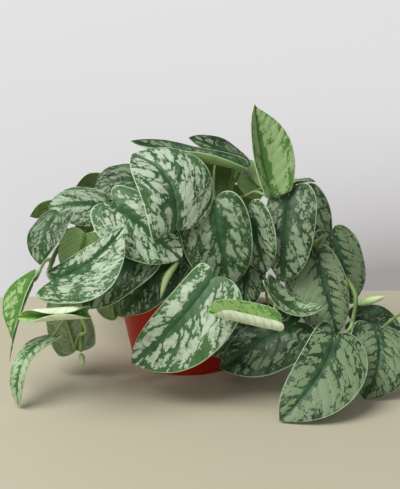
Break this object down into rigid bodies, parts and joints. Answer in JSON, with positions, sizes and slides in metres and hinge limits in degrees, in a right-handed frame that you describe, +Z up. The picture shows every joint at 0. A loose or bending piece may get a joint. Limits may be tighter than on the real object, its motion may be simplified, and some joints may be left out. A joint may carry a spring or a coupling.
{
  "type": "potted satin pothos",
  "caption": "Trailing house plant with silver-blotched heart-shaped leaves on arching vines, in a tapered plastic nursery pot of soil.",
  "frame": {"origin": "centre of the pot's flat underside", "axes": "+Z up, +X along the plant's long way, towards the leaves that lie on the surface, -Y the front"},
  "size_m": [0.3972, 0.3353, 0.2611],
  "materials": {
    "pot_plastic": "satin",
    "soil": "matte",
    "stem": "satin",
    "leaf": "satin",
    "young_leaf": "satin"
  },
  "bodies": {
    "root": {"pot": "pot_plastic", "soil": "soil", "stem_front": "stem", "stem_left": "stem", "stem_low_left": "stem", "stem_right": "stem", "stem_low_right": "stem", "stem_top": "stem", "stem_back_left": "stem", "stem_back_right": "stem", "stem_trailing": "stem", "shoot_right": "young_leaf", "shoot_front": "young_leaf", "shoot_left": "young_leaf", "leaf_crown": "leaf", "leaf_front": "leaf", "leaf_centre": "leaf", "leaf_under_front": "leaf", "leaf_shoulder": "leaf", "leaf_left_high": "leaf", "leaf_left_far": "leaf", "leaf_left_back": "leaf", "leaf_left_hanging": "leaf", "leaf_left_turned": "leaf", "leaf_left_wide": "leaf", "leaf_left_young": "young_leaf", "leaf_left_low": "leaf", "leaf_rim_turned": "leaf", "leaf_arched": "leaf", "leaf_low_turned": "leaf", "leaf_left_rolled": "young_leaf", "leaf_right_narrow": "leaf", "leaf_right_high": "leaf", "leaf_right_behind": "leaf", "leaf_right_wide": "leaf", "leaf_right_last": "leaf", "leaf_right_front": "leaf", "leaf_right_low": "leaf", "leaf_right_under": "leaf", "leaf_right_rolled": "young_leaf", "leaf_right_folded": "leaf", "leaf_end": "leaf", "leaf_end_behind": "leaf", "leaf_upright": "young_leaf", "leaf_top": "leaf", "leaf_top_behind": "leaf", "leaf_top_turned": "leaf", "leaf_right_edge_on": "leaf", "leaf_shoulder_turned": "leaf", "leaf_left_side": "leaf", "leaf_back_top": "leaf", "leaf_back_centre": "leaf", "leaf_back_left": "leaf", "leaf_back_left_low": "leaf", "leaf_back_left_end": "leaf", "leaf_back_right": "leaf", "leaf_right_side": "leaf", "leaf_back_right_low": "leaf", "leaf_back_right_end": "leaf", "leaf_inner": "leaf"}
  },
  "joints": []
}
